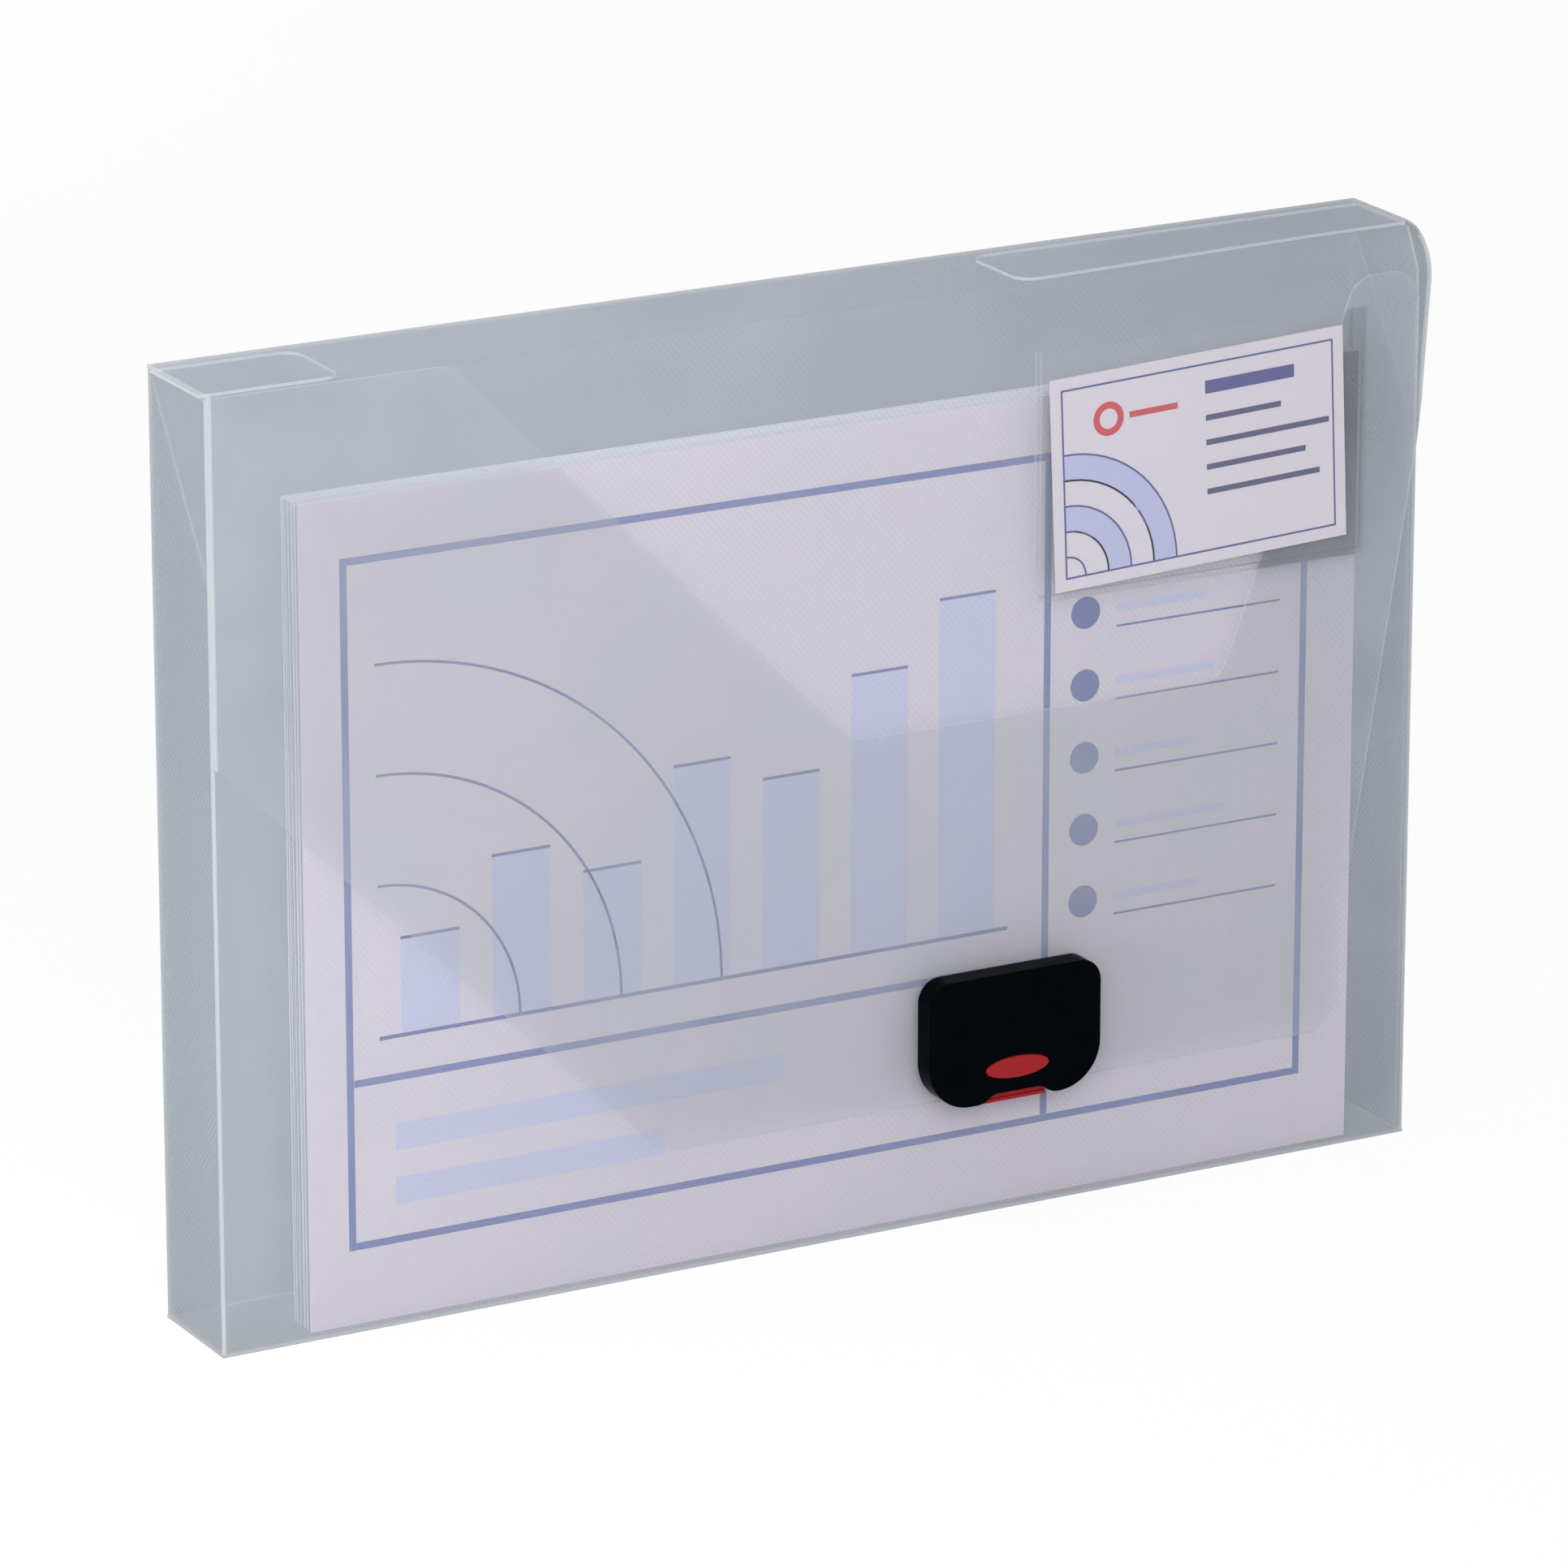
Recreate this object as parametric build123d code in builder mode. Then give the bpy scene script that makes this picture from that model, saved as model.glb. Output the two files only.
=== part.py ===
from build123d import *
import os

# Landscape box for A4 papers, folded and welded from translucent polypropylene sheet.
# Millimetres, +Z up. The origin is the centre of the bottom's outer face, and the front faces -Y.

# Case
sheet = 0.8
case_width = 338.0
case_depth = 32.0
case_height = 242.0
fold_radius = 0.6
lid_clearance = 0.4

# Finger notch in the front panel, open at the top
notch_depth = 110.3
notch_floor_width = 105.7
notch_right_inset = 57.3
notch_left_slope = 1.0
notch_right_slope = 0.385
notch_corner = 8.0
stub_drop = 10.0

# Weld tabs inside the side panels
tab_front_gap = 0.6
tab_rear_drop = 3.0
tab_slope_drop = 45.0

# Dust flaps under the lid
left_dust_length = 38.0
right_dust_length = 114.0
dust_front_inset = 3.0
dust_rear_inset = 1.0
dust_step_length = 27.0
dust_step = 4.0
dust_corner = 5.0

# Bend between the lid and the closing flap, crisp at the left and soft at the right
flap_gap = 1.2
crisp_radius = 1.0
soft_radius = 12.0
soft_length = 159.0
flare = 4.5
flare_length = 17.0
crown_height = 42.0
crown_steps = 4

# Closing flap outline
flap_bottom = 32.7
flap_left_inset = 120.7
flap_diagonal_rise = 117.5
flap_right_inset = 22.0
flap_knee_height = 25.5
flap_lean_rise = 127.0
flap_side_inset = 1.5
flap_side_rise = 13.0
flap_foot_radius = 9.0
flap_diagonal_radius = 12.0

# Clasp cover, on the flap
clasp_right_inset = 121.0
cover_width = 49.6
cover_height = 33.8
cover_low = 32.1
cover_proud = 6.0
cover_wall = 1.4
cover_top_radius = 6.0
cover_bottom_radius = 12.0
cover_edge_radius = 1.2
thumb_width = 14.0
thumb_depth = 2.3
thumb_slant = 3.0
boss_radius = 2.6
boss_spread = 34.0
boss_below_top = 6.8
plate_thickness = 0.7
plate_margin = 4.0
plate_height = 9.0
rivet_radius = 1.3
rivet_hole_slack = 0.05
rivet_head_radius = 2.1
rivet_head = 0.3
rivet_end_gap = 1.0

# Clasp keeper and release button, on the front panel
keeper_shift = 0.8
flange_width = 27.0
flange_height = 16.8
flange_thickness = 1.6
flange_drop = -0.6
flap_notch_slack = 1.5
backplate_thickness = 1.0
keeper_rivet_spread = 19.0
keeper_rivet_below_top = 2.9
keeper_wall = 0.8
keeper_gap = 0.5
button_above_low = 8.5
button_width = 18.2
button_height = 5.7
button_slack = 0.4
button_rim = 1.2
button_rim_thickness = 0.8
button_rim_gap = 0.1
button_travel = 1.8
button_stop_gap = 0.2
button_proud = 0.2
button_dome = 0.5
lip_width = 18.2
lip_height = 2.1
lip_setback = 1.9
lip_groove = 0.5

# Card and its pocket, on the flap
card_width = 85.0
card_height = 55.0
card_thickness = 0.3
card_shift = -0.85
card_below_pocket_top = 33.4
card_tilt = 2.4
card_back_gap = 0.6
card_front_gap = 0.3
pocket_width = 96.5
pocket_below_top = 18.0
pocket_film = 0.2
pocket_weld = 1.5
pocket_seat_gap = 0.2

# Papers
paper_left_gap = 25.2
paper_right_gap = 15.8
paper_height = 210.0
paper_front_gap = 2.6
stack_thickness = 9.7
cover_paper_thickness = 0.3

# Edges, levels and places worked out from the sizes above
left_x = -case_width / 2
right_x = case_width / 2
front_y = -case_depth / 2
back_y = case_depth / 2
lid_under = case_height - sheet
dust_under = lid_under - sheet
front_top = lid_under - lid_clearance
stub_top = front_top - stub_drop
notch_bottom = front_top - notch_depth
notch_right_foot = right_x - notch_right_inset
notch_left_foot = notch_right_foot - notch_floor_width
soft_start = right_x - soft_length
flare_start = right_x - flare_length
flap_left_foot = left_x + flap_left_inset
flap_right_foot = right_x - flap_right_inset
clasp_x = right_x - clasp_right_inset
keeper_x = clasp_x + keeper_shift
button_z = cover_low + button_above_low
flap_inner = front_y - flap_gap
flap_outer = flap_inner - sheet
cover_face = flap_outer - cover_proud
cover_top = cover_low + cover_height
crown_foot = case_height - crown_height
flange_low = cover_low + flange_drop
flange_top = flange_low + flange_height
flange_face = front_y - flange_thickness
keeper_face = cover_face + cover_wall + keeper_gap
keeper_holes = [
    (keeper_x - keeper_rivet_spread / 2, flange_top - keeper_rivet_below_top),
    (keeper_x + keeper_rivet_spread / 2, flange_top - keeper_rivet_below_top),
]
pocket_right = flare_start
pocket_left = pocket_right - pocket_width
pocket_top = case_height - pocket_below_top
card_x = (pocket_left + pocket_right) / 2 + card_shift
card_z = pocket_top - card_below_pocket_top


def upright(y):
    """A plane that faces the front at depth y: its x is X, its y is Z, and an extrusion goes towards -Y."""
    return Plane.XZ.offset(-y)


def soft_share(x, start):
    """How far the bend has softened at x: 0 up to start, 1 at the right end."""
    return max(0.0, (x - start) / (right_x - start)) ** 2


# Bottom: the long spine that the box stands on
with BuildPart() as bottom_panel:
    with BuildSketch(Plane.XY):
        Rectangle(case_width, case_depth)
    extrude(amount=sheet)
bottom_panel.part.label = "bottom_panel"

# Back: a plain sheet up to the lid's fold
with BuildPart() as back_panel:
    with BuildSketch(upright(back_y)):
        with Locations((0, sheet)):
            Rectangle(case_width, lid_under - sheet, align=(Align.CENTER, Align.MIN))
    extrude(amount=sheet)
    fillet(back_panel.edges().filter_by(Axis.Z).group_by(Axis.Y)[-1], fold_radius)
back_panel.part.label = "back_panel"

# Front: cut away by the finger notch, lower at the right under the soft bend, and punched for the keeper
notch_left_top = notch_left_foot - (front_top - notch_bottom) * notch_left_slope
notch_right_top = notch_right_foot + (stub_top - notch_bottom) * notch_right_slope
with BuildPart() as front_panel:
    with BuildSketch(upright(front_y + sheet)) as front_outline:
        with BuildLine():
            Polyline(
                (left_x, sheet),
                (right_x, sheet),
                (right_x, stub_top),
                (notch_right_top, stub_top),
                (notch_right_foot, notch_bottom),
                (notch_left_foot, notch_bottom),
                (notch_left_top, front_top),
                (left_x, front_top),
                close=True,
            )
        make_face()
        corners = front_outline.vertices()
        notch_floor = corners.filter_by_position(Axis.Y, notch_bottom - 1, notch_bottom + 1)
        stub_corners = corners.filter_by_position(Axis.Y, stub_top - 1, stub_top + 1)
        left_corner = corners.sort_by_distance((notch_left_top, front_top))[0]
        fillet([*notch_floor, *stub_corners, left_corner], notch_corner)
        with Locations(*keeper_holes):
            Circle(rivet_radius + rivet_hole_slack, mode=Mode.SUBTRACT)
    extrude(amount=sheet)
    fillet(front_panel.edges().filter_by(Axis.Z).group_by(Axis.Y)[0], fold_radius)
front_panel.part.label = "front_panel"


def side_corners(corner_cut):
    """A side panel's corners on a YZ plane, with its top front corner cut down by corner_cut."""
    return [
        (front_y + sheet, sheet),
        (back_y - sheet, sheet),
        (back_y - sheet, dust_under),
        (front_y + sheet + corner_cut / 2, dust_under),
        (front_y + sheet, dust_under - corner_cut),
    ]


# Sides: the left one is square to the fold, the right one gives way to the soft bend
with BuildPart() as left_side_panel:
    with BuildSketch(Plane.YZ.offset(left_x)):
        with BuildLine():
            Polyline(*side_corners(lid_clearance), close=True)
        make_face()
    extrude(amount=sheet)
left_side_panel.part.label = "left_side_panel"

with BuildPart() as right_side_panel:
    with BuildSketch(Plane.YZ.offset(right_x - sheet)):
        with BuildLine():
            Polyline(*side_corners(stub_drop), close=True)
        make_face()
    extrude(amount=sheet)
right_side_panel.part.label = "right_side_panel"


# Weld tabs: they turn in from the back, lie flat against the inside of the sides and slope down to the front
tab_front = front_y + sheet + tab_front_gap
tab_top = dust_under - tab_rear_drop
tab_corners = [
    (tab_front, sheet),
    (back_y - sheet, sheet),
    (back_y - sheet, tab_top),
    (tab_front, tab_top - tab_slope_drop),
]
with BuildPart() as left_weld_tab:
    with BuildSketch(Plane.YZ.offset(left_x + sheet)):
        with BuildLine():
            Polyline(*tab_corners, close=True)
        make_face()
    extrude(amount=sheet)
left_weld_tab.part.label = "left_weld_tab"

with BuildPart() as right_weld_tab:
    with BuildSketch(Plane.YZ.offset(right_x - 2 * sheet)):
        with BuildLine():
            Polyline(*tab_corners, close=True)
        make_face()
    extrude(amount=sheet)
right_weld_tab.part.label = "right_weld_tab"

# Dust flaps: they fold in from the sides and carry the lid
dust_front = front_y + sheet + dust_front_inset
dust_back = back_y - sheet - dust_rear_inset
with BuildPart() as left_dust_flap:
    with BuildSketch(Plane.XY.offset(dust_under)) as left_dust:
        with Locations((left_x, dust_front)):
            Rectangle(left_dust_length, dust_back - dust_front, align=(Align.MIN, Align.MIN))
        fillet(left_dust.vertices().group_by(Axis.X)[-1], dust_corner)
    extrude(amount=sheet)
left_dust_flap.part.label = "left_dust_flap"

with BuildPart() as right_dust_flap:
    with BuildSketch(Plane.XY.offset(dust_under)) as right_dust:
        with BuildLine():
            Polyline(
                (right_x - right_dust_length, dust_front),
                (right_x - dust_step_length, dust_front + dust_step),
                (right_x, dust_front + dust_step),
                (right_x, dust_back),
                (right_x - right_dust_length, dust_back),
                close=True,
            )
        make_face()
        fillet(right_dust.vertices().group_by(Axis.X)[0], dust_corner)
    extrude(amount=sheet)
right_dust_flap.part.label = "right_dust_flap"

# The lid and the top of the closing flap are one bent sheet, parted on a mitre through the crease
soft_stations = [soft_start + (flare_start - soft_start) * n / crown_steps for n in range(crown_steps)]
flare_stations = [flare_start + (right_x - flare_start) * n / crown_steps for n in range(crown_steps + 1)]
with BuildPart() as crown:
    for station in [left_x, *soft_stations, *flare_stations]:
        corner_y = flap_outer - flare * soft_share(station, flare_start)
        bend_radius = crisp_radius + (soft_radius - crisp_radius) * soft_share(station, soft_start)
        with BuildSketch(Plane.YZ.offset(station)) as section:
            with BuildLine():
                Polyline(
                    (back_y, case_height),
                    (corner_y, case_height),
                    (flap_outer, crown_foot),
                    (flap_inner, crown_foot),
                    (corner_y + sheet, lid_under),
                    (back_y, lid_under),
                    close=True,
                )
            make_face()
            fillet(section.vertices().sort_by_distance((corner_y, case_height))[0], bend_radius)
            fillet(section.vertices().sort_by_distance((corner_y + sheet, lid_under))[0], bend_radius - sheet)
    loft(ruled=True)

crease = Plane(origin=(0, flap_outer, case_height), x_dir=(1, 0, 0), z_dir=(0, 1, 1))

with BuildPart() as lid_panel:
    add(crown.part)
    split(bisect_by=crease, keep=Keep.TOP)
lid_panel.part.label = "lid_panel"

# Closing flap: a long slope at the left, a leaning edge at the right, and a notch for the keeper
notch_top = flange_top + flap_notch_slack
notch_width = flange_width + 2 * flap_notch_slack
cover_holes = [
    (clasp_x - boss_spread / 2, cover_top - boss_below_top),
    (clasp_x + boss_spread / 2, cover_top - boss_below_top),
]
with BuildPart() as closing_flap:
    add(crown.part)
    split(bisect_by=crease, keep=Keep.BOTTOM)
    with BuildSketch(upright(flap_inner)):
        with Locations((0, flap_bottom)):
            Rectangle(case_width, crown_foot - flap_bottom, align=(Align.CENTER, Align.MIN))
    extrude(amount=sheet)
    with BuildSketch(upright(back_y)) as flap_outline:
        with BuildLine():
            Polyline(
                (flap_left_foot, flap_bottom),
                (flap_right_foot, flap_bottom),
                (flap_right_foot, flap_bottom + flap_knee_height),
                (right_x - flap_side_inset, flap_bottom + flap_knee_height + flap_lean_rise),
                (right_x, flap_bottom + flap_knee_height + flap_lean_rise + flap_side_rise),
                (right_x, case_height),
                (left_x, case_height),
                (left_x, flap_bottom + flap_diagonal_rise),
                close=True,
            )
        make_face()
        fillet(flap_outline.vertices().sort_by_distance((flap_left_foot, flap_bottom))[0], flap_diagonal_radius)
        fillet(flap_outline.vertices().sort_by_distance((flap_right_foot, flap_bottom))[0], flap_foot_radius)
        with Locations((keeper_x, flap_bottom)):
            Rectangle(
                notch_width,
                notch_top - flap_bottom,
                align=(Align.CENTER, Align.MIN),
                mode=Mode.SUBTRACT,
            )
    extrude(amount=2 * case_depth, mode=Mode.INTERSECT)
    with BuildSketch(upright(flap_inner)):
        with Locations(*cover_holes):
            Circle(rivet_radius + rivet_hole_slack)
    extrude(amount=sheet, mode=Mode.SUBTRACT)
closing_flap.part.label = "closing_flap"


def cover_outline(inset):
    """The clasp cover's outline, drawn inset from its outer edge."""
    with Locations((clasp_x, cover_low + inset)):
        Rectangle(cover_width - 2 * inset, cover_height - 2 * inset, align=(Align.CENTER, Align.MIN))


# Clasp cover: a glossy hollow moulding with an oval window and a thumb notch below it
with BuildPart() as clasp_cover:
    with BuildSketch(upright(flap_outer)) as shell_outline:
        cover_outline(0)
        fillet(shell_outline.vertices().group_by(Axis.Y)[-1], cover_top_radius)
        fillet(shell_outline.vertices().group_by(Axis.Y)[0], cover_bottom_radius)
    extrude(amount=cover_proud)
    fillet(clasp_cover.faces().sort_by(Axis.Y)[0].edges(), cover_edge_radius)
    with BuildSketch(upright(flap_outer)) as hollow_outline:
        cover_outline(cover_wall)
        fillet(hollow_outline.vertices().group_by(Axis.Y)[-1], cover_top_radius - cover_wall)
        fillet(hollow_outline.vertices().group_by(Axis.Y)[0], cover_bottom_radius - cover_wall)
    extrude(amount=cover_proud - cover_wall, mode=Mode.SUBTRACT)
    with BuildSketch(upright(flap_outer)):
        with Locations((keeper_x, cover_low)):
            Rectangle(lip_width + 2 * keeper_gap, 2 * thumb_depth)
    extrude(amount=cover_proud - cover_wall, mode=Mode.SUBTRACT)
    with BuildSketch(upright(flap_outer)):
        with Locations(*cover_holes):
            Circle(boss_radius)
    extrude(amount=cover_proud - cover_wall)
    with BuildSketch(upright(flap_outer)):
        with Locations(*cover_holes):
            Circle(rivet_radius + rivet_hole_slack)
    extrude(amount=cover_proud - cover_wall - rivet_end_gap + rivet_hole_slack, mode=Mode.SUBTRACT)
    with BuildSketch(upright(flap_outer)):
        with Locations((keeper_x, button_z)):
            Ellipse(button_width / 2 + button_slack, button_height / 2 + button_slack)
        with BuildLine():
            Polyline(
                (keeper_x - thumb_width / 2 - 2 * thumb_slant, cover_low - thumb_depth),
                (keeper_x + thumb_width / 2 + 2 * thumb_slant, cover_low - thumb_depth),
                (keeper_x + thumb_width / 2, cover_low + thumb_depth),
                (keeper_x - thumb_width / 2, cover_low + thumb_depth),
                close=True,
            )
        make_face()
    extrude(amount=cover_proud, mode=Mode.SUBTRACT)
clasp_cover.part.label = "clasp_cover"

# Backing plate inside the flap, which spreads the cover's pull
with BuildPart() as clasp_cover_plate:
    with BuildSketch(upright(flap_inner + plate_thickness)) as plate_outline:
        with Locations((clasp_x, cover_top - boss_below_top)):
            Rectangle(cover_width - 2 * plate_margin, plate_height)
        fillet(plate_outline.vertices(), rivet_head_radius)
        with Locations(*cover_holes):
            Circle(rivet_radius + rivet_hole_slack, mode=Mode.SUBTRACT)
    extrude(amount=plate_thickness)
clasp_cover_plate.part.label = "clasp_cover_plate"

# Rivets through plate and flap into the cover's bosses
with BuildPart() as clasp_cover_rivets:
    rivet_seat = flap_inner + plate_thickness
    with BuildSketch(upright(rivet_seat)):
        with Locations(*cover_holes):
            Circle(rivet_radius)
    extrude(amount=rivet_seat - (cover_face + cover_wall + rivet_end_gap))
    with BuildSketch(upright(rivet_seat + rivet_head)):
        with Locations(*cover_holes):
            Circle(rivet_head_radius)
    extrude(amount=rivet_head)
clasp_cover_rivets.part.label = "clasp_cover_rivets"

# Keeper: a red moulding riveted to the front panel, whose head the cover closes over
well_width = button_width + 2 * (button_rim + button_slack)
well_height = button_height + 2 * (button_rim + button_slack)
button_back = keeper_face + button_rim_thickness + button_rim_gap + button_rim_thickness
well_floor = button_back + button_travel + button_stop_gap
lip_face = cover_face + lip_setback
with BuildPart() as clasp_keeper:
    with BuildSketch(upright(front_y)) as flange_outline:
        with Locations((keeper_x, flange_low)):
            Rectangle(flange_width, flange_height, align=(Align.CENTER, Align.MIN))
        fillet(flange_outline.vertices(), rivet_head_radius)
    extrude(amount=flange_thickness)
    with BuildSketch(upright(flange_face)) as head_outline:
        with Locations((keeper_x, button_z)):
            RectangleRounded(well_width + 2 * keeper_wall, well_height + 2 * keeper_wall, well_height / 2)
    extrude(amount=flange_face - keeper_face)
    with BuildSketch(upright(flange_face)):
        with Locations((keeper_x, flange_low)):
            Rectangle(lip_width, lip_height, align=(Align.CENTER, Align.MIN))
    extrude(amount=flange_face - lip_face)
    with BuildSketch(upright(lip_face + lip_groove)):
        with Locations((keeper_x, flange_low + lip_height / 2)):
            Rectangle(lip_width, lip_groove)
    extrude(amount=lip_groove, mode=Mode.SUBTRACT)
    with BuildSketch(upright(well_floor)):
        with Locations((keeper_x, button_z)):
            Ellipse(well_width / 2, well_height / 2)
    extrude(amount=well_floor - keeper_face - button_rim_thickness, mode=Mode.SUBTRACT)
    with BuildSketch(upright(well_floor)):
        with Locations((keeper_x, button_z)):
            Ellipse(button_width / 2 + button_slack, button_height / 2 + button_slack)
    extrude(amount=well_floor - keeper_face, mode=Mode.SUBTRACT)
    with BuildSketch(upright(front_y)):
        with Locations(*keeper_holes):
            Circle(rivet_radius + rivet_hole_slack)
    extrude(amount=flange_thickness, mode=Mode.SUBTRACT)
clasp_keeper.part.label = "clasp_keeper"

# Release button: an oval key held under the rim of the keeper's well
with BuildPart() as release_button:
    with BuildSketch(upright(button_back)):
        with Locations((keeper_x, button_z)):
            Ellipse(button_width / 2 + button_rim, button_height / 2 + button_rim)
    extrude(amount=button_rim_thickness)
    with BuildSketch(upright(button_back)):
        with Locations((keeper_x, button_z)):
            Ellipse(button_width / 2, button_height / 2)
    extrude(amount=button_back - cover_face + button_proud)
    fillet(release_button.faces().sort_by(Axis.Y)[0].edges(), button_dome)
release_button.part.label = "release_button"

# Backing plate behind the front panel, under the keeper
with BuildPart() as keeper_backplate:
    with BuildSketch(upright(front_y + sheet + backplate_thickness)) as backplate_outline:
        with Locations((keeper_x, flange_low)):
            Rectangle(flange_width, flange_height, align=(Align.CENTER, Align.MIN))
        fillet(backplate_outline.vertices(), rivet_head_radius)
        with Locations(*keeper_holes):
            Circle(rivet_radius + rivet_hole_slack, mode=Mode.SUBTRACT)
    extrude(amount=backplate_thickness)
keeper_backplate.part.label = "keeper_backplate"

with BuildPart() as keeper_rivets:
    keeper_rivet_seat = front_y + sheet + backplate_thickness
    with BuildSketch(upright(keeper_rivet_seat)):
        with Locations(*keeper_holes):
            Circle(rivet_radius)
    extrude(amount=keeper_rivet_seat - flange_face)
    with BuildSketch(upright(keeper_rivet_seat + rivet_head)):
        with Locations(*keeper_holes):
            Circle(rivet_head_radius)
    extrude(amount=rivet_head)
keeper_rivets.part.label = "keeper_rivets"

# Card, a little askew in its pocket
card_back = flap_outer - card_back_gap
with BuildPart() as index_card:
    with BuildSketch(upright(card_back)) as card_outline:
        with Locations((card_x, card_z)):
            Rectangle(card_width, card_height, rotation=card_tilt)
    extrude(amount=card_thickness)
index_card.part.label = "index_card"

# Pocket: a clear film welded to the flap along three sides, open at the top
card_low = index_card.part.bounding_box().min.Z
pocket_low = card_low - pocket_seat_gap - pocket_weld
film_back = card_back - card_thickness - card_front_gap
with BuildPart() as card_pocket:
    with BuildSketch(upright(flap_outer)):
        with Locations((pocket_left, pocket_low)):
            Rectangle(pocket_right - pocket_left, pocket_top - pocket_low, align=(Align.MIN, Align.MIN))
    extrude(amount=flap_outer - film_back + pocket_film)
    with BuildSketch(upright(flap_outer)):
        with Locations((pocket_left + pocket_weld, pocket_low + pocket_weld)):
            Rectangle(
                pocket_right - pocket_left - 2 * pocket_weld,
                pocket_top - pocket_low,
                align=(Align.MIN, Align.MIN),
            )
    extrude(amount=flap_outer - film_back, mode=Mode.SUBTRACT)
card_pocket.part.label = "card_pocket"

# Papers: a stack that stands on the bottom, with a printed front sheet
paper_front = front_y + sheet + paper_front_gap
paper_left = left_x + paper_left_gap
paper_width = right_x - paper_right_gap - paper_left
with BuildPart() as cover_paper:
    with BuildSketch(upright(paper_front + cover_paper_thickness)):
        with Locations((paper_left, sheet)):
            Rectangle(paper_width, paper_height, align=(Align.MIN, Align.MIN))
    extrude(amount=cover_paper_thickness)
cover_paper.part.label = "cover_paper"

with BuildPart() as paper_stack:
    with BuildSketch(upright(paper_front + cover_paper_thickness + stack_thickness)):
        with Locations((paper_left, sheet)):
            Rectangle(paper_width, paper_height, align=(Align.MIN, Align.MIN))
    extrude(amount=stack_thickness)
paper_stack.part.label = "paper_stack"

os.makedirs("parts", exist_ok=True)
for piece in (
    bottom_panel,
    back_panel,
    front_panel,
    left_side_panel,
    right_side_panel,
    left_weld_tab,
    right_weld_tab,
    left_dust_flap,
    right_dust_flap,
    lid_panel,
    closing_flap,
    clasp_cover,
    clasp_cover_plate,
    clasp_cover_rivets,
    clasp_keeper,
    keeper_backplate,
    keeper_rivets,
    release_button,
    card_pocket,
    index_card,
    cover_paper,
    paper_stack,
):
    export_step(piece.part, f"parts/{piece.part.label}.step")
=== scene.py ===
import math
import random

import bmesh
import bpy
from mathutils import Matrix, Vector


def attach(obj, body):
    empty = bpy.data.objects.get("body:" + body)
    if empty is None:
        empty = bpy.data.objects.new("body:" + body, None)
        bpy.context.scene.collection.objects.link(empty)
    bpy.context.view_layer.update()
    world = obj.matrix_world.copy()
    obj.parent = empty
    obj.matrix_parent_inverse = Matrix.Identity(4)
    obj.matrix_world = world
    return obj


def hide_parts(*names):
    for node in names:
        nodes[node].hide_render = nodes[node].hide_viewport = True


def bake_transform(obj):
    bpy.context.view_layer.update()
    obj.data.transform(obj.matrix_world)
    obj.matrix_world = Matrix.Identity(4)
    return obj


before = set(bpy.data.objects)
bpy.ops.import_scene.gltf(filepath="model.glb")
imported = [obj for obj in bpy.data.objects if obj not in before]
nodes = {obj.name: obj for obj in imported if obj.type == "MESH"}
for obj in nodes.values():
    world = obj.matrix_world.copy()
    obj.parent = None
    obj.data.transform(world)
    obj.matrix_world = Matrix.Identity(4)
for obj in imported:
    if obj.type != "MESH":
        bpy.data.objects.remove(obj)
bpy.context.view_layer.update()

# Case: bottom, back, front, sides, weld tabs and dust flaps, folded from one sheet of extruded
# polypropylene, 0.8 mm thick, and welded at the tabs. Sizes are in millimetres unless a note says metres.
half_width = 169.0
half_depth = 16.0
case_top = 242.0
half_height = case_top / 2
fold_band = 0.7
emboss_pitch = 1.294
emboss_slope = 0.85
emboss_haze = 0.11
haze_size = 29.4
haze_swing = 0.025
shadow_share = 0.3


def linear(code):
    """The linear colour of an sRGB hex code."""
    parts = [int(code[n:n + 2], 16) / 255 for n in (1, 3, 5)]
    return (*[p / 12.92 if p <= 0.04045 else ((p + 0.055) / 1.055) ** 2.4 for p in parts], 1.0)


def add_node(tree, kind, settings=(), links=()):
    """Adds a node: settings pair an attribute or input with its value, links pair an input with an output."""
    node = tree.nodes.new(kind)
    for key, value in settings:
        if isinstance(key, str) and hasattr(node, key):
            setattr(node, key, value)
        else:
            node.inputs[key].default_value = value
    for key, source in links:
        tree.links.new(source, node.inputs[key])
    return node


def new_material(name):
    """An empty node material, its tree and its output node."""
    material = bpy.data.materials.new(name)
    material.use_nodes = True
    material.node_tree.nodes.clear()
    return material, material.node_tree, add_node(material.node_tree, "ShaderNodeOutputMaterial")


def noise_scale(size):
    """The scale of a noise texture whose blotches are size millimetres across."""
    return 1000 / size


def band_scale(pitch):
    """The scale of a wave texture whose bands repeat every pitch millimetres along one axis."""
    return 2 * math.pi / (20 * pitch / 1000)


def step_above(tree, value, threshold):
    """1 where the size of a value is above the threshold, else 0."""
    size = add_node(tree, "ShaderNodeMath", [("operation", "ABSOLUTE")], [(0, value)])
    return add_node(
        tree, "ShaderNodeMath", [("operation", "GREATER_THAN"), (1, threshold)], [(0, size.outputs[0])]
    ).outputs[0]


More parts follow.
